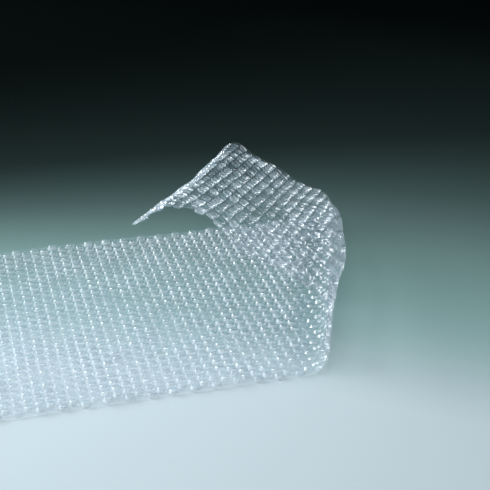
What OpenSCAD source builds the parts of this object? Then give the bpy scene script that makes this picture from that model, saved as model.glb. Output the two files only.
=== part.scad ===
// A length of small-bubble cushioning film, lying flat with one end turned up and back over.
// The film is a true rectangle that only bends and never stretches. Each of its three bends is
// a band of straight creases that run slanted across the width, so that the end comes over askew.

/* [Film] */
// Width of the film, across the roll it was cut from
film_w = 300; // [250:5:350]
// Thickness of the flat backing film with the weld layer on it
film_t = 1; // [0.6:0.1:1.5]

/* [Bubbles] */
// Distance between neighbouring bubbles, centre to centre
bubble_pitch = 10.5; // [10:0.5:14]
// Diameter of a bubble where it is welded to the film
bubble_d = 9.2; // [7:0.2:9.6]
// Diameter of the flattened top of a bubble
bubble_top_d = 6; // [5:0.2:7]
// Height of a bubble above the film
bubble_h = 4; // [3:0.5:4.5]

/* [Near edge] */
// Length that lies flat on the ground
flat_l = 285; // [200:5:400]
// Length of the bend that rises from the ground
rise_near = 26; // [24:1:32]
// Length that stands upright
wall_near = 33; // [25:1:40]
// Length of the bend that turns back over the flat part
back_near = 24; // [22:1:30]
// Length that slopes up over the hollow
roof_near = 148; // [130:2:160]
// Length of the bend along the crest
crest_near = 26; // [22:1:32]
// Length that slopes down to the free corner
tip_near = 28; // [20:1:40]

/* [Far edge] */
// How much later the film leaves the ground here than at the near edge
slant = 107; // [90:1:110]
// Length of the bend that rises from the ground
rise_far = 17; // [15:0.5:20]
// Length between that bend and the next
wall_far = 2; // [1:0.5:6]
// Length of the bend that turns back over the flat part
back_far = 17; // [15:0.5:20]
// Length that slopes up over the hollow
roof_far = 98; // [85:1:105]
// Length of the bend along the crest
crest_far = 24; // [20:1:28]

/* [Angles] */
// Angle of the bend that rises from the ground
rise_turn = 77; // [70:1:80]
// Angle of the bend that turns back over the flat part
back_turn = 76; // [70:1:80]
// Angle of the bend along the crest
crest_turn = 72; // [55:1:80]

/* [Hidden] */

creases_per_bend = 8;
rise_near_at = flat_l;
back_near_at = rise_near_at + rise_near + wall_near;
crest_near_at = back_near_at + back_near + roof_near;
rise_far_at = flat_l + slant;
back_far_at = rise_far_at + rise_far + wall_far;
crest_far_at = back_far_at + back_far + roof_far;
film_l = crest_near_at + crest_near + tip_near;

// Each bend: start and length along the near edge, then along the far edge, then its angle
bends = [
    [rise_near_at, rise_near, rise_far_at, rise_far, rise_turn],
    [back_near_at, back_near, back_far_at, back_far, back_turn],
    [crest_near_at, crest_near, crest_far_at, crest_far, crest_turn]
];
// Each crease: where it meets the near edge, where it would meet the far edge, angle
creases = [
    for (b = bends)
        for (i = [0 : creases_per_bend - 1])
            let (share = (i + 0.5) / creases_per_bend)
            [b[0] + b[1] * share, b[2] + b[3] * share, b[4] / creases_per_bend]
];
crease_count = len(creases);

bubble_r = bubble_d / 2;
column_step = bubble_pitch * sqrt(3) / 2;
row_count = floor((film_w - bubble_pitch / 2) / bubble_pitch);
edge_margin = (film_w - (row_count + 0.5) * bubble_pitch) / 2;
column_count = floor(film_l / column_step);
end_margin = (film_l - column_count * column_step) / 2;
rim_samples = 12;

// Rotation by an angle about a horizontal axis through the origin, as a 4 x 4 matrix
function turn_about(axis, angle) =
    let (u = axis / norm(axis), c = cos(angle), s = sin(angle), v = 1 - c)
    [
        [c + u.x * u.x * v, u.x * u.y * v, u.y * s, 0],
        [u.x * u.y * v, c + u.y * u.y * v, -u.x * s, 0],
        [-u.y * s, u.x * s, c, 0],
        [0, 0, 0, 1]
    ];
function shift_by(v) = [[1, 0, 0, v.x], [0, 1, 0, v.y], [0, 0, 1, v.z], [0, 0, 0, 1]];
// The film beyond a crease is lifted by turning it backwards about the crease
function fold(crease) =
    shift_by([crease[0], 0, 0])
    * turn_about([crease[1] - crease[0], film_w, 0], -crease[2])
    * shift_by([-crease[0], 0, 0]);
function undo(m) =
    let (r = [for (i = [0 : 2]) [for (j = [0 : 2]) m[j][i]]], p = [m[0][3], m[1][3], m[2][3]])
    [for (i = [0 : 2]) [each r[i], -(r[i] * p)], [0, 0, 0, 1]];
function at(m, p) = let (q = m * [p.x, p.y, p.z, 1]) [q.x, q.y, q.z];
function facing(m) = [m[0][2], m[1][2], m[2][2]];

// One matrix per flat panel: panel 0 lies on the ground, and crease k joins panels k and k + 1
panels = [
    for (k = 0, m = shift_by([0, 0, 0]); k <= crease_count;
         m = k < crease_count ? m * fold(creases[k]) : m, k = k + 1) m
];
function crease_at(k, y) = creases[k][0] + (creases[k][1] - creases[k][0]) * y / film_w;
function panel_of(p) = len([for (k = [0 : crease_count - 1]) if (crease_at(k, p.y) < p.x) k]);

// A crease that runs off the cut end stops there
function ends_at(k) =
    creases[k][1] <= film_l
        ? [creases[k][1], film_w]
        : [film_l, film_w * (film_l - creases[k][0]) / (creases[k][1] - creases[k][0])];
far_count = len([for (c = creases) if (c[1] <= film_l) c]);

// Corners of the flat pattern, each with the panels on its two sides: near edge, then back
outline = [
    [[0, 0], 0, 0],
    for (k = [0 : crease_count - 1]) [[creases[k][0], 0], k, k + 1],
    [[film_l, 0], crease_count, crease_count],
    for (k = [crease_count - 1 : -1 : far_count]) [ends_at(k), k, k + 1],
    [[film_l, film_w], far_count, far_count],
    for (k = [far_count - 1 : -1 : 0]) [ends_at(k), k, k + 1],
    [[0, film_w], 0, 0]
];
corner_count = len(outline);

// The height h above the film, measured square to both panels that meet at a corner
function raised(corner, h) =
    let (
        n1 = facing(panels[corner[1]]),
        n2 = facing(panels[corner[2]]),
        mean = (n1 + n2) / norm(n1 + n2)
    )
    at(panels[corner[1]], [corner[0].x, corner[0].y, 0]) + mean * h / (mean * n1);

far_end = corner_count - 1;
// Index of the corner at the far or cut-end side of crease k
function back_corner(k) = k < far_count ? far_end - 1 - k : far_end - 2 - k;

// Corners of panel k, in order round it
function panel_face(k) =
    let (
        first = k == 0 ? far_end : back_corner(k - 1),
        last = k == crease_count ? k + 1 : back_corner(k)
    )
    [k, k + 1, if (k < crease_count) last, if (k == far_count) far_end - 1 - far_count, first];

film_points = [for (h = [0, film_t]) for (c = outline) raised(c, h)];
film_low = [for (i = [0 : 2]) min([for (p = film_points) p[i]])];
film_high = [for (i = [0 : 2]) max([for (p = film_points) p[i]])];
// The origin is the middle of the footprint, on the ground
to_origin = [-(film_low.x + film_high.x) / 2, -(film_low.y + film_high.y) / 2, 0];

function backwards(list) = [for (i = [len(list) - 1 : -1 : 0]) list[i]];
film_faces = [
    for (k = [0 : crease_count]) panel_face(k),
    for (k = [0 : crease_count]) backwards([for (i = panel_face(k)) i + corner_count]),
    for (i = [0 : corner_count - 1])
        let (j = (i + 1) % corner_count)
        [i, i + corner_count, j + corner_count, j]
];

// In a hollow bend the film rises under a bubble's rim, and the bubble sits on that rise
function rim_rise(p, k) =
    max([
        for (i = [0 : rim_samples - 1])
            let (
                a = 360 * i / rim_samples,
                q = [p.x + bubble_r * cos(a), p.y + bubble_r * sin(a)],
                beside = panel_of(q)
            )
            beside == k ? 0 : at(undo(panels[k]) * panels[beside], [q.x, q.y, film_t]).z - film_t
    ]);

module backing_film() {
    color([0.62, 0.74, 0.84])
        translate(to_origin)
            polyhedron(film_points, film_faces, convexity = 6);
}

module bubble() {
    cylinder(h = bubble_h, d1 = bubble_d, d2 = bubble_top_d, $fn = 24);
}

// Columns of bubbles run across the film, and each second column is half a pitch over
module bubble_layer() {
    color([0.88, 0.94, 0.98])
        translate(to_origin)
            for (i = [0 : column_count - 1])
                for (j = [0 : row_count - 1])
                    let (
                        x = end_margin + (i + 0.5) * column_step,
                        y = edge_margin + (j + 0.5 + (i % 2) / 2) * bubble_pitch,
                        k = panel_of([x, y])
                    )
                    multmatrix(panels[k] * shift_by([x, y, film_t + rim_rise([x, y], k)]))
                        bubble();
}

backing_film();
bubble_layer();
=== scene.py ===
# %% [markdown]
# # A length of bubble wrap with its end folded over
#
# Bubble wrap is two films of clear polyethylene. One is flat. The other is sucked into round
# pockets while it is hot, and the two are welded together everywhere between the pockets. The
# result bends easily but hardly stretches, so the way to a believable shape is to keep the
# sheet a true rectangle and only fold it.
#
# The solid model already folds the rectangle along straight creases. This script repeats that
# fold with many finer creases, so that the bends come out round, and then adds what makes film
# look like film: slack, waves along the edges, domed bubbles that are all a little different,
# and a clear glossy material.

import math

import bpy
import numpy as np
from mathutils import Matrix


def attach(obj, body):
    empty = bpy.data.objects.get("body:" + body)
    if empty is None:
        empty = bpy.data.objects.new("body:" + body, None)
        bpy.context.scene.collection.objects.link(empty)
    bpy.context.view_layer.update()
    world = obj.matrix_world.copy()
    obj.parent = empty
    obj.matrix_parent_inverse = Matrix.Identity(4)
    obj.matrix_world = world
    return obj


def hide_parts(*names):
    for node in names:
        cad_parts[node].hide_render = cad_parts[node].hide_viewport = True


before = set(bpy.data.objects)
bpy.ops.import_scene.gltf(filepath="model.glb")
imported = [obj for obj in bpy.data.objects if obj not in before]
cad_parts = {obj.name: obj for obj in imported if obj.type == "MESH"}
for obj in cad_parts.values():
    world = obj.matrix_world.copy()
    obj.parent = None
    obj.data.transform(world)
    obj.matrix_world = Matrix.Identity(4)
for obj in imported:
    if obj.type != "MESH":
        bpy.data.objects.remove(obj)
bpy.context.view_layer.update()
MM = 0.001
print("nodes:", list(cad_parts))

# %% [markdown]
# ## The flat pattern
#
# A fold is easiest to think about on the flat sheet. Every bend is a band of creases, and each
# crease is one straight line from the near edge to the far edge. Because the far end of a band
# starts later than its near end, the creases run slanted, and the folded end comes over askew.
# The lengths here are the ones that the solid model uses.

# %% Lengths along the two edges of the sheet
film_w = 300 * MM
near_lengths = [285, 26, 33, 24, 148, 26, 28]  # flat, rise, wall, back, roof, crest, tip
far_lengths = [392, 17, 2, 17, 98, 24]  # the same, up to the crest
bend_turns = [77, 76, 72]  # degrees, for the rise, the back and the crest
bend_steps = 14
film_l = sum(near_lengths) * MM
near_marks = np.cumsum([0] + near_lengths) * MM
far_marks = np.append(np.cumsum([0] + far_lengths) * MM, film_l)
print(f"flat sheet {film_w * 1000:.0f} x {film_l * 1000:.0f} mm")


# %% [markdown]
# ## Folding
#
# Folding a sheet along a crease turns everything beyond the crease about that line. Doing this
# crease after crease gives each narrow strip one rotation and one shift. A point of the flat
# sheet is then placed by the rotation and shift of the strip that it lies in. Nothing is
# stretched, because each strip only moves as a whole.


# %% Creases
def turn_about(axis, angle):
    """The 3 x 3 rotation about an axis."""
    x, y, z = axis / np.linalg.norm(axis)
    k = np.array([[0, -z, y], [z, 0, -x], [-y, x, 0]])
    return np.eye(3) + math.sin(angle) * k + (1 - math.cos(angle)) * k @ k


creases = []
for bend, turn in enumerate(bend_turns):
    first = 2 * bend + 1  # the bends are every second length
    for step in range(bend_steps):
        share = (step + 0.5) / bend_steps
        near = near_marks[first] + share * (near_marks[first + 1] - near_marks[first])
        far = far_marks[first] + share * (far_marks[first + 1] - far_marks[first])
        creases.append((near, far, math.radians(turn) / bend_steps))

turns = [np.eye(3)]
shifts = [np.zeros(3)]
for near, far, angle in creases:
    hinge = np.array([near, 0, 0])
    local = turn_about(np.array([far - near, film_w, 0]), -angle)
    shifts.append(turns[-1] @ (hinge - local @ hinge) + shifts[-1])
    turns.append(turns[-1] @ local)
turns = np.array(turns)
shifts = np.array(shifts)
print(f"{len(creases)} creases")


# %% Folding points
def strip_of(along, across):
    """Which strip between two creases each point of the flat sheet lies in."""
    strip = np.zeros(np.shape(along), int)
    for near, far, _ in creases:
        strip += along > near + (far - near) * across / film_w
    return strip


def fold_points(along, across, height):
    """Points over the flat sheet, moved to where they are over the folded sheet."""
    strip = strip_of(along, across)
    flat = np.stack([along, across, height], axis=-1)
    return np.einsum("...ij,...j->...i", turns[strip], flat) + shifts[strip]


# %% [markdown]
# ## Where the sheet lies
#
# The solid model puts its origin in the middle of the footprint. The folded sheet is measured
# once, and the shift that gives both boxes one middle is kept for every point placed later.

# %% Find the shift
trial_along, trial_across = np.meshgrid(
    np.linspace(0, film_l, 300), np.linspace(0, film_w, 60), indexing="ij"
)
trial = fold_points(trial_along, trial_across, np.zeros_like(trial_along)).reshape(-1, 3)
low, high = trial.min(axis=0), trial.max(axis=0)
origin_shift = np.array([-(low[0] + high[0]) / 2, -(low[1] + high[1]) / 2, 0])
print("shift in mm:", (origin_shift * 1000).round(1))

# %% [markdown]
# ## Slack
#
# A sheet folded along perfect lines looks like card. Film is slack: it lifts in long low waves,
# most of all along its cut edges, and it bellies out where it turns. The slack is a small
# movement along the sheet's own normal. It is a sum of smooth waves with fixed random
# directions, so that it is the same on every run, and of a few broad humps, which are read off
# the photograph's outline: where the outline stands further out than a plain fold, the film
# there is pushed out, and where it stands further in, the film sags.

# %% Waves and humps
rng = np.random.default_rng(11)
wave_count = 14
wave_turn = rng.uniform(0, math.pi, wave_count)
wave_size = rng.uniform(38, 110, wave_count) * MM
wave_phase = rng.uniform(0, 2 * math.pi, wave_count)

# Each hump in mm: place along and across the sheet, reach along and across, and height.
# A height above 0 is towards the bubble side, which faces inwards on the turned-up end.
humps = [
    (398, 215, 38, 85, -16),  # belly of the far wall
    (378, 125, 32, 55, -8),  # the same belly, running out towards the near edge
    (354, 30, 26, 34, 5),  # near edge of the wall, drawn in
    (452, 300, 30, 90, 5),  # sag in the far edge of the roof
    (548, 165, 40, 70, 4),  # sag in the crest
    (500, 0, 22, 40, -5),  # peak in the near edge of the roof
    (575, 0, 18, 40, -5),  # the free corner, curled up
]


def waves(along, across):
    """Smooth random waves, mostly between -1 and 1."""
    total = 0
    for turn, size, phase in zip(wave_turn, wave_size, wave_phase):
        total = total + np.sin(
            2 * math.pi * (along * math.cos(turn) + across * math.sin(turn)) / size + phase
        )
    return total / math.sqrt(wave_count)


# %% Slack
floor_wave = 0.35 * MM  # on the ground, all over
floor_edge_wave = 1.6 * MM  # on the ground, more along the cut edges
air_wave = 1.3 * MM  # the same two for the turned-up end
air_edge_wave = 1.2 * MM
edge_reach = 35 * MM
lift_from, lift_to = 5 * MM, 60 * MM  # where the turned-up end's slack takes over
skin = 0.2 * MM  # the film's height above the floor where it has no slack


def ease(value, low, high):
    """0 below low, 1 above high, and smooth between."""
    share = np.clip((value - low) / (high - low), 0, 1)
    return share * share * (3 - 2 * share)


def lift_line(across):
    """Where along the sheet the film leaves the ground."""
    return near_marks[1] + (far_marks[1] - near_marks[1]) * across / film_w


def slack(along, across):
    """How far the film stands off its folded place, towards its bubble side."""
    lift_at = lift_line(across)
    raised = ease(along, lift_at + lift_from, lift_at + lift_to)
    edge = 1 - ease(np.minimum(across, film_w - across), 0, edge_reach)
    wave = waves(along, across)
    # clipped, so that no wave takes the film through the floor
    on_floor = floor_wave * (1 + np.clip(wave, -1, 2)) / 2
    on_floor = on_floor + floor_edge_wave * edge * np.clip(wave, 0, 2)
    in_air = air_wave * wave + air_edge_wave * edge * wave
    for at_along, at_across, reach_along, reach_across, height in humps:
        in_air = in_air + height * MM * np.exp(
            -(((along / MM - at_along) / reach_along) ** 2)
            - ((across / MM - at_across) / reach_across) ** 2
        )
    return on_floor + raised * (in_air - on_floor)


def place(along, across, height=0.0):
    """Points of the flat sheet, moved to where the folded and slack film is."""
    along, across = np.broadcast_arrays(np.asarray(along, float), np.asarray(across, float))
    rise = skin + slack(along, across) + height
    return fold_points(along, across, np.broadcast_to(rise, along.shape)) + origin_shift


# %% [markdown]
# ## Reading and writing vertices
#
# Operators act on what is selected, so each step starts by selecting just its own piece. The
# places of many vertices are read and written at once as one array, which is far quicker than
# a loop over them.


# %% Helpers for selecting and placing
def only(piece):
    """Select one piece and make it active."""
    bpy.ops.object.select_all(action="DESELECT")
    piece.select_set(True)
    bpy.context.view_layer.objects.active = piece


def set_points(mesh, points):
    mesh.vertices.foreach_set("co", np.ascontiguousarray(points, np.float32).ravel())
    mesh.update()


def get_points(mesh):
    points = np.empty(len(mesh.vertices) * 3, np.float32)
    mesh.vertices.foreach_get("co", points)
    return points.reshape(-1, 3)


# %% [markdown]
# ## The backing film
#
# The film starts as a grid, the natural primitive for a sheet. Its columns are slid so that
# they follow the creases: each bend then has its own narrow columns, and the flat stretches
# have wide ones. After that every vertex is placed by the fold. The flat place of each vertex
# is kept as a UV map, so that a pattern on the film follows it round the bends.

# %% Columns of the film
columns_between = [60, 12, 8, 12, 36, 12, 8]  # in each length along the edge, in order
film_rows = 100


def column_places(marks):
    """Where the columns meet an edge, from the marks between its lengths."""
    places = [
        np.linspace(start, end, count, endpoint=False)
        for start, end, count in zip(marks[:-1], marks[1:], columns_between)
    ]
    return np.concatenate(places + [marks[-1:]])


column_near = column_places(near_marks)
column_far = column_places(far_marks)
film_columns = len(column_near) - 1
print(f"{film_columns} columns, {film_rows} rows")

# %% Backing film
bpy.ops.object.select_all(action="DESELECT")
bpy.ops.mesh.primitive_grid_add(
    x_subdivisions=film_columns, y_subdivisions=film_rows, size=1, location=(0, 0, 0)
)
film = bpy.context.object
film.name = "film"
film.data.name = "film"
grid = get_points(film.data)
column = np.rint((grid[:, 0] + 0.5) * film_columns).astype(int)
across = (grid[:, 1] + 0.5) * film_w
along = column_near[column] + (column_far[column] - column_near[column]) * across / film_w
film_uv = film.data.uv_layers[0]
film_uv.name = "flat"
loop_vertex = np.empty(len(film.data.loops), np.int32)
film.data.loops.foreach_get("vertex_index", loop_vertex)
film_uv.data.foreach_set(
    "uv", np.stack([along[loop_vertex], across[loop_vertex]], axis=1).astype(np.float32).ravel()
)
set_points(film.data, place(along, across))
# 1 on the cut edges and 0 elsewhere, for the material
on_edge = (along <= 0) | (along >= film_l) | (across <= 0) | (across >= film_w)
cut_edge = film.data.attributes.new("cut_edge", "FLOAT", "POINT")
cut_edge.data.foreach_set("value", on_edge.astype(np.float32))
only(film)
bpy.ops.object.shade_smooth()
print("film:", len(film.data.polygons), "faces")

# %% [markdown]
# ## One bubble
#
# A bubble is a low drum with a rounded shoulder and a nearly flat crown. It is modelled once: a
# short cylinder with no floor, whose top is drawn in, then inset and lifted three times to make
# the shoulder and the crown, and poked to close it. The wall leans in because the film was
# drawn into a mould and had to come out again. The shoulder is kept narrow, because it is what
# glints, and on a narrow shoulder the glint is a fine line.

# %% One bubble
bubble_r = 4.7 * MM
bubble_sides = 12
bubble_wall_h = 2.1 * MM
wall_top_share = 0.86  # the wall's radius at its top, as a share of that at its foot
# Each shoulder step in mm: how far in, and how far up
shoulder_steps = [(0.35, 1.0), (0.4, 0.5), (0.7, 0.25)]
level = 0.9  # a face whose normal rises or drops by more than this is the top or the floor


def select_level_faces(mesh, side):
    """Select the top where side is 1, or the floor where it is -1. Starts in object mode."""
    for face in mesh.polygons:
        face.select = face.normal.z * side > level


bpy.ops.object.select_all(action="DESELECT")
bpy.ops.mesh.primitive_cylinder_add(
    vertices=bubble_sides,
    radius=bubble_r,
    depth=bubble_wall_h,
    end_fill_type="NGON",
    location=(0, 0, bubble_wall_h / 2),
)
bubble = bpy.context.object
bpy.ops.object.transform_apply(location=True, rotation=True, scale=True)
bpy.ops.object.mode_set(mode="EDIT")
bpy.ops.mesh.select_mode(type="FACE")
bpy.ops.mesh.select_all(action="DESELECT")
bpy.ops.object.mode_set(mode="OBJECT")
select_level_faces(bubble.data, -1)
bpy.ops.object.mode_set(mode="EDIT")
bpy.ops.mesh.delete(type="ONLY_FACE")
bpy.ops.object.mode_set(mode="OBJECT")
select_level_faces(bubble.data, 1)
bpy.ops.object.mode_set(mode="EDIT")
bpy.ops.transform.resize(value=(wall_top_share, wall_top_share, 1))
for inward, upward in shoulder_steps:
    bpy.ops.mesh.inset(thickness=inward * MM, depth=0)
    bpy.ops.transform.translate(value=(0, 0, upward * MM))
bpy.ops.mesh.poke()
bpy.ops.object.mode_set(mode="OBJECT")
bubble_points = get_points(bubble.data).astype(float)
bubble_faces = [list(face.vertices) for face in bubble.data.polygons]
bubble_h = bubble_points[:, 2].max()
bpy.data.objects.remove(bubble, do_unlink=True)
print(f"one bubble: {len(bubble_faces)} faces, {bubble_h * 1000:.1f} mm high")

# %% [markdown]
# ## The field of bubbles
#
# The bubbles stand in columns across the film, and each second column is half a pitch over.
# Every bubble is a copy of the one above with its own small faults: its height, a slight
# squash, and dents in its wall. Those faults are what breaks the highlights up into sparkles,
# and there are more of them towards the turned-up end. Where the film bends with the bubbles
# inside, they are pressed lower. The field is kept in two pieces, one for the stretch on the
# ground and one for the turned-up end. That end is seen against the dark, where the same veil
# looks stronger, so its walls are given less of it. Its bubbles have been handled and have lost
# air, each by a different amount, which breaks up the rows that a new sheet shows.

# %% Bubble places
bubble_pitch = 10.5 * MM
column_step = bubble_pitch * math.sqrt(3) / 2
row_count = int((film_w - bubble_pitch / 2) // bubble_pitch)
edge_margin = (film_w - (row_count + 0.5) * bubble_pitch) / 2
column_count = int(film_l // column_step)
end_margin = (film_l - column_count * column_step) / 2
centres = np.array(
    [
        (
            end_margin + (i + 0.5) * column_step,
            edge_margin + (j + 0.5 + (i % 2) / 2) * bubble_pitch,
        )
        for i in range(column_count)
        for j in range(row_count)
    ]
)
print(len(centres), "bubbles")

# %% Where bubbles are bent, dented or low on air
tight_bend = 6  # creases under one bubble at which it is pressed as far as it goes
pressed_most = 0.35  # how much lower it then is
drawn_in_most = 0.30  # how much narrower its crown then is
dent_on_flat = 0.1 * MM
dent_on_turned = 0.3 * MM
# Each change runs from one distance past the line where the film lifts to another
dents_from, dents_to = -190 * MM, 40 * MM
air_from, air_to = 30 * MM, 90 * MM
air_on_wall = 0.3  # the unevenness on the wall, as a share of that on the roof


def bend_tightness(along, across):
    """How many creases lie under a bubble, as a share of a tight bend."""
    half = 4.5 * MM  # about a bubble's radius
    under = strip_of(along + half, across) - strip_of(along - half, across)
    return np.clip(under / tight_bend, 0, 1)


def dent_size(along, across):
    """Film that has been handled is more dented: near the rise, and all the turned-up end."""
    lift_at = lift_line(across)
    handled = ease(along, lift_at + dents_from, lift_at + dents_to)
    return dent_on_flat + (dent_on_turned - dent_on_flat) * handled


def lost_air(along, across):
    """Where bubbles have lost air: 1 on the roof, and less on the wall that rises to it."""
    lift_at = lift_line(across)
    return air_on_wall + (1 - air_on_wall) * ease(along, lift_at + air_from, lift_at + air_to)


# %% Faults
def roll_faults(count, seed):
    """The random faults of so many bubbles, the same for the same seed."""
    dice = np.random.default_rng(seed)
    return {
        "spin": dice.uniform(0, 2 * math.pi, count),
        "tall": dice.uniform(0.84, 1.04, count),
        "wide": dice.uniform(0.95, 1.03, (count, 2)),
        "dents": dice.normal(0, 1, (count, len(bubble_points), 3)),
        "low": dice.uniform(0, 1, count),
        "thin": dice.uniform(-0.6, 1, count),
    }


def shape_bubbles(along, across, faults, uneven):
    """The points of every bubble, with its faults, on the folded film."""
    top = bubble_points[:, 2] / bubble_h
    dents = faults["dents"] * dent_size(along, across)[:, None, None]
    shape = bubble_points[None] + dents * top[None, :, None]
    turn_c, turn_s = np.cos(faults["spin"])[:, None], np.sin(faults["spin"])[:, None]
    x = (shape[:, :, 0] * turn_c - shape[:, :, 1] * turn_s) * faults["wide"][:, :1]
    y = (shape[:, :, 0] * turn_s + shape[:, :, 1] * turn_c) * faults["wide"][:, 1:]
    bent = bend_tightness(along, across)
    tall = faults["tall"] * (1 - pressed_most * bent) * (1 - uneven * faults["low"])
    # the wall leans towards the middle in a tight bend, so that neighbours don't meet
    draw_in = 1 - (drawn_in_most * bent)[:, None] * top[None]
    return place(
        along[:, None] + x * draw_in, across[:, None] + y * draw_in, shape[:, :, 2] * tall[:, None]
    )


# %% One piece of the field
# The veil on a bubble, by height: 1 on the wall, less on the shoulder and 0 on the crown
veil_heights = [0, 0.52, 0.8, 0.93, 1]
veil_values = [1, 0.9, 0.7, 0.3, 0]


def bubble_field(name, chosen, seed, density, uneven):
    """One mesh with a copy of the bubble at each chosen centre.

    density scales the wall's veil. uneven is the most by which a bubble of the turned-up end
    falls short of its neighbours, in its height and its veil.
    """
    along, across = chosen.T
    count, size = len(chosen), len(bubble_points)
    faults = roll_faults(count, seed)
    uneven = uneven * lost_air(along, across)
    points = shape_bubbles(along, across, faults, uneven)
    faces = [[v + n * size for v in face] for n in range(count) for face in bubble_faces]
    mesh = bpy.data.meshes.new(name)
    mesh.from_pydata(points.reshape(-1, 3).tolist(), [], faces)
    mesh.update()
    piece = bpy.data.objects.new(name, mesh)
    bpy.context.collection.objects.link(piece)
    veil = np.interp(bubble_points[:, 2] / bubble_h, veil_heights, veil_values)
    wall = mesh.attributes.new("wall", "FLOAT", "POINT")
    wall.data.foreach_set(
        "value",
        np.outer(density * (1 - uneven * faults["thin"]), veil).astype(np.float32).ravel(),
    )
    only(piece)
    bpy.ops.object.shade_smooth()
    print(f"{name}: {count} bubbles, {len(mesh.polygons)} faces")
    return piece


# %% Both fields
short_of_lift = 12 * MM  # the flat field ends this far before the film lifts
on_ground = centres[:, 0] < lift_line(centres[:, 1]) - short_of_lift
bubbles_flat = bubble_field("bubbles_flat", centres[on_ground], 21, density=1, uneven=0)
bubbles_turned = bubble_field("bubbles_turned", centres[~on_ground], 22, density=0.7, uneven=0.6)

# %% [markdown]
# ## Clear film
#
# Polyethylene film is clear, faintly blue and glossy. What shows of it is mostly highlights, and
# a white veil wherever much film lies along the line of sight: at the bubble walls, at the cut
# edges and where the sheet turns away. So the veil is the alpha of the surface. It is low on
# the flat stretches and the crowns, high on the bubble walls, and rises a little as the surface
# turns edge on. Alpha also thins out the highlights, so the index of refraction is set high and
# a sharp coat is laid over it to bring them back. A shared group makes the crinkle that breaks
# the highlights up: fine ripples for the bump and soft clouds for the veil and the gloss.

# %% Crinkle group
crinkle = bpy.data.node_groups.new("crinkle", "ShaderNodeTree")
for socket, in_out, kind in (
    ("Vector", "INPUT", "NodeSocketVector"),
    ("Scale", "INPUT", "NodeSocketFloat"),
    ("Height", "OUTPUT", "NodeSocketFloat"),
    ("Cloud", "OUTPUT", "NodeSocketFloat"),
):
    crinkle.interface.new_socket(socket, in_out=in_out, socket_type=kind)
nodes, links = crinkle.nodes, crinkle.links
group_in = nodes.new("NodeGroupInput")
group_out = nodes.new("NodeGroupOutput")
ripple = nodes.new("ShaderNodeTexNoise")
ripple.inputs["Detail"].default_value = 4
ripple.inputs["Distortion"].default_value = 1.6
links.new(group_in.outputs["Vector"], ripple.inputs["Vector"])
links.new(group_in.outputs["Scale"], ripple.inputs["Scale"])
cloud = nodes.new("ShaderNodeTexNoise")
cloud.inputs["Scale"].default_value = 28
cloud.inputs["Detail"].default_value = 3
links.new(group_in.outputs["Vector"], cloud.inputs["Vector"])
links.new(ripple.outputs["Fac"], group_out.inputs["Height"])
links.new(cloud.outputs["Fac"], group_out.inputs["Cloud"])
print("crinkle group:", len(nodes), "nodes")


# %% Helpers for nodes
def math_node(nodes, links, operation, first, second, clamp=False):
    """A Math node whose two inputs are each a socket or a number."""
    node = nodes.new("ShaderNodeMath")
    node.operation = operation
    node.use_clamp = clamp
    for i, value in enumerate((first, second)):
        if isinstance(value, bpy.types.NodeSocket):
            links.new(value, node.inputs[i])
        else:
            node.inputs[i].default_value = value
    return node.outputs[0]


def map_range(nodes, links, value, from_low, from_high, to_low, to_high):
    """A smooth Map Range node."""
    node = nodes.new("ShaderNodeMapRange")
    node.interpolation_type = "SMOOTHSTEP"
    links.new(value, node.inputs["Value"])
    for name, number in (
        ("From Min", from_low),
        ("From Max", from_high),
        ("To Min", to_low),
        ("To Max", to_high),
    ):
        node.inputs[name].default_value = number
    return node.outputs[0]


# %% Clear material
# Noise mostly lies near 0.5. Each of these stretches it to a low and a high of its own.
clouds_to_roughness = (0.3, 0.7, 0.06, 0.2)
clouds_to_veil = (0.35, 0.65, 0.75, 1.3)


def clear_material(name, where, tints, mask, alphas, slant_alpha, bump, scale):
    """Glossy clear film.

    where is the node and the output that give its coordinates. mask is an attribute, 0 where
    the film is clear and 1 where it is dense, and tints and alphas are for clear and for dense
    film. slant_alpha is what is added edge on. bump is the ripples' height, and scale is how
    fine they are.
    """
    material = bpy.data.materials.new(name)
    material.use_nodes = True
    nodes, links = material.node_tree.nodes, material.node_tree.links
    shader = nodes["Principled BSDF"]
    shader.inputs["IOR"].default_value = 2.4
    shader.inputs["Coat Weight"].default_value = 0.8
    shader.inputs["Coat IOR"].default_value = 1.8
    shader.inputs["Coat Roughness"].default_value = 0.05

    vector = nodes.new(where[0])
    group = nodes.new("ShaderNodeGroup")
    group.node_tree = crinkle
    group.inputs["Scale"].default_value = scale
    links.new(vector.outputs[where[1]], group.inputs["Vector"])
    height, clouds = group.outputs["Height"], group.outputs["Cloud"]
    bumped = nodes.new("ShaderNodeBump")
    bumped.inputs["Strength"].default_value = 1
    bumped.inputs["Distance"].default_value = bump
    links.new(height, bumped.inputs["Height"])
    links.new(bumped.outputs["Normal"], shader.inputs["Normal"])
    roughness = map_range(nodes, links, clouds, *clouds_to_roughness)
    links.new(roughness, shader.inputs["Roughness"])

    dense = nodes.new("ShaderNodeAttribute")
    dense.attribute_name = mask
    tint = nodes.new("ShaderNodeMix")
    tint.data_type = "RGBA"
    links.new(dense.outputs["Fac"], tint.inputs["Factor"])
    tint.inputs["A"].default_value, tint.inputs["B"].default_value = tints
    links.new(tint.outputs["Result"], shader.inputs["Base Color"])

    veil = map_range(nodes, links, dense.outputs["Fac"], 0, 1, *alphas)
    cloudy = map_range(nodes, links, clouds, *clouds_to_veil)
    veil = math_node(nodes, links, "MULTIPLY", veil, cloudy)
    slant = nodes.new("ShaderNodeLayerWeight")
    slant.inputs["Blend"].default_value = 0.3
    steep = math_node(nodes, links, "POWER", slant.outputs["Facing"], 2)
    steep = math_node(nodes, links, "MULTIPLY", steep, slant_alpha)
    links.new(math_node(nodes, links, "ADD", veil, steep, clamp=True), shader.inputs["Alpha"])
    return material


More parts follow.
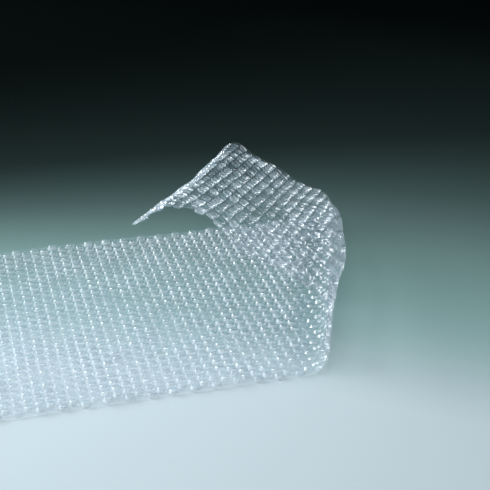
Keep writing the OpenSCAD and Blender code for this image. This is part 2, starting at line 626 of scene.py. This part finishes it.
# %% [markdown]
# The flat film takes its pattern from the UV map, so it runs round the bends. The bubbles take
# theirs from where they stand, so no two are alike. Their ripples are finer than the film's and
# lower, because a bubble's skin is stretched tight.

# %% Materials of the film and the bubbles
clear_film = clear_material(
    "clear_film",
    where=("ShaderNodeUVMap", "UV"),
    tints=((0.34, 0.54, 0.70, 1), (0.80, 0.90, 0.97, 1)),
    mask="cut_edge",
    alphas=(0.04, 0.20),
    slant_alpha=0.1,
    bump=0.12 * MM,
    scale=260,
)
clear_bubbles = clear_material(
    "clear_bubbles",
    where=("ShaderNodeTexCoord", "Object"),
    tints=((0.42, 0.62, 0.76, 1), (0.82, 0.91, 0.98, 1)),
    mask="wall",
    alphas=(0.06, 0.44),
    slant_alpha=0.14,
    bump=0.07 * MM,
    scale=420,
)
film.data.materials.clear()
film.data.materials.append(clear_film)
for piece in (bubbles_flat, bubbles_turned):
    piece.data.materials.append(clear_bubbles)

# %% [markdown]
# ## Tell the frame
#
# Every piece rides on the one body. The film stands for the backing solid, and the two fields
# of bubbles stand for the bubble solid, so those solids are hidden.

# %% Pieces and their solids
for piece, solid, slot in (
    (film, "backing_film", "clear_film"),
    (bubbles_flat, "bubble_layer", "clear_bubbles"),
    (bubbles_turned, "bubble_layer", "clear_bubbles"),
):
    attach(piece, "root")
    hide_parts(solid)

# %% [markdown]
# ## Stage
#
# Clear film can only be seen against something. The floor's colour is painted light and shade:
# pale under the film, and darkening softly towards the back, like a studio floor that the lamps
# don't reach. The colour is one ramp, running back and a little to the right. A small extra term
# turns the ramp's lines like the ribs of a fan, so the painted shade sets in sooner on the left.

# %% Floor and its painted shade
floor_size = 12.0
darker_towards = (0.35, 1.0, 0)
# Distance in that direction in metres, and the floor's colour there, which is painted shade
floor_stops = [
    (-0.17, (0.44, 0.52, 0.57)),
    (-0.05, (0.19, 0.32, 0.32)),
    (0.08, (0.12, 0.2, 0.195)),
    (0.20, (0.034, 0.059, 0.058)),
    (0.34, (0.0045, 0.0085, 0.008)),
    (0.75, (0.0012, 0.002, 0.002)),
]
shade_start, shade_end = floor_stops[0][0], floor_stops[-1][0]
# The fan is X times Y in square metres, kept between these, times its strength
fan_range = (-0.1, 0.3)
fan_strength = -0.9

bpy.ops.object.select_all(action="DESELECT")
bpy.ops.mesh.primitive_plane_add(size=floor_size, location=(0, 0, 0))
floor = bpy.context.object
floor.name = "studio_floor"
# the floor's material: its colour is painted shade, darker towards the back
floor_painted_shade = bpy.data.materials.new("floor_painted_shade")
floor_painted_shade.use_nodes = True
nodes, links = floor_painted_shade.node_tree.nodes, floor_painted_shade.node_tree.links
shader = nodes["Principled BSDF"]
shader.inputs["Roughness"].default_value = 0.8
shader.inputs["Specular IOR Level"].default_value = 0

# %% How far out each point of the floor is
where = nodes.new("ShaderNodeTexCoord")
away = nodes.new("ShaderNodeVectorMath")
away.operation = "DOT_PRODUCT"
away.inputs[1].default_value = darker_towards
links.new(where.outputs["Object"], away.inputs[0])
axes = nodes.new("ShaderNodeSeparateXYZ")
links.new(where.outputs["Object"], axes.inputs[0])
fan = nodes.new("ShaderNodeClamp")
fan.inputs["Min"].default_value, fan.inputs["Max"].default_value = fan_range
x_times_y = math_node(nodes, links, "MULTIPLY", axes.outputs["X"], axes.outputs["Y"])
links.new(x_times_y, fan.inputs["Value"])
fanned = math_node(nodes, links, "MULTIPLY", fan.outputs[0], fan_strength)
far_away = math_node(nodes, links, "ADD", away.outputs["Value"], fanned)

# %% The floor's ramp of painted shade
share = nodes.new("ShaderNodeMapRange")
share.inputs["From Min"].default_value = shade_start
share.inputs["From Max"].default_value = shade_end
links.new(far_away, share.inputs["Value"])
ramp = nodes.new("ShaderNodeValToRGB")
links.new(share.outputs[0], ramp.inputs["Fac"])
links.new(ramp.outputs["Color"], shader.inputs["Base Color"])
# a smooth curve along the stops, because straight lines between them show as bands
ramp.color_ramp.interpolation = "B_SPLINE"
stops = ramp.color_ramp.elements
while len(stops) < len(floor_stops):
    stops.new(0.5)
for stop, (far_out, colour) in zip(stops, floor_stops):
    stop.position = (far_out - shade_start) / (shade_end - shade_start)
    stop.color = (*colour, 1)
floor.data.materials.append(floor_painted_shade)
print("floor ramp:", len(stops), "stops")

# %% [markdown]
# ## Lamps
#
# A low, wide lamp at the back left does most of the work. Its light grazes the field, the left
# side of every bubble glints, and along a column the glints join up into a line. Its beam is
# narrowed, as by a grid in front of the lamp, so that the floor near it isn't burnt out. The two
# high lamps whiten the film, and the weak one in front keeps the shadows open.


# %% Lamps
def soft_lamp(name, place_at, look_at, width, height, power, spread=180):
    """A rectangular lamp, in metres and watts. spread is the angle of its beam in degrees."""
    light = bpy.data.lights.new(name, "AREA")
    light.shape = "RECTANGLE"
    light.size = width
    light.size_y = height
    light.energy = power
    light.spread = math.radians(spread)
    lamp = bpy.data.objects.new(name, light)
    bpy.context.collection.objects.link(lamp)
    lamp.location = place_at
    toward = np.array(look_at) - np.array(place_at)
    lamp.rotation_euler = (
        math.atan2(math.hypot(toward[0], toward[1]), -toward[2]),
        0,
        math.atan2(toward[1], toward[0]) - math.pi / 2,
    )
    print(f"{name}: {power} W at {place_at}")


soft_lamp("key", (-0.9, 0.6, 1.4), (0, 0, 0.05), 0.4, 0.4, 12)
soft_lamp("top", (-0.12, -0.15, 1.1), (-0.1, -0.1, 0), 0.6, 0.6, 8)
soft_lamp("side", (-1.1, 0.8, 0.55), (0, 0, 0.03), 1.8, 0.5, 12, spread=90)
soft_lamp("fill", (-0.5, -1.5, 0.6), (0, 0, 0.03), 1.2, 0.3, 3)

world = bpy.data.worlds.new("studio")
bpy.context.scene.world = world
world.use_nodes = True
background = world.node_tree.nodes["Background"]
background.inputs["Color"].default_value = (0.55, 0.6, 0.65, 1)
background.inputs["Strength"].default_value = 0.18

# %% [markdown]
# ## Camera
#
# The bubble grid in the photograph gives the camera: it stands 572 mm above the ground and
# looks down by 26.45 degrees, turned 15.08 degrees to the right of straight across the film.

# %% Camera
camera_height = 572.25 * MM
camera_down = math.radians(26.45)
camera_right = math.radians(15.08)
near_edge_away = 855 * MM  # from below the camera to the film's near edge
photo_px = 490
focal_px = 1257
camera_data = bpy.data.cameras.new("camera")
camera_data.sensor_width = 36
camera_data.lens = camera_data.sensor_width * focal_px / photo_px
camera = bpy.data.objects.new("camera", camera_data)
bpy.context.collection.objects.link(camera)
camera.location = (origin_shift[0], origin_shift[1] - near_edge_away, camera_height)
camera.rotation_euler = (math.pi / 2 - camera_down, 0, -camera_right)
bpy.context.scene.camera = camera
bpy.context.scene.view_settings.view_transform = "Standard"
print(f"lens {camera_data.lens:.1f} mm")
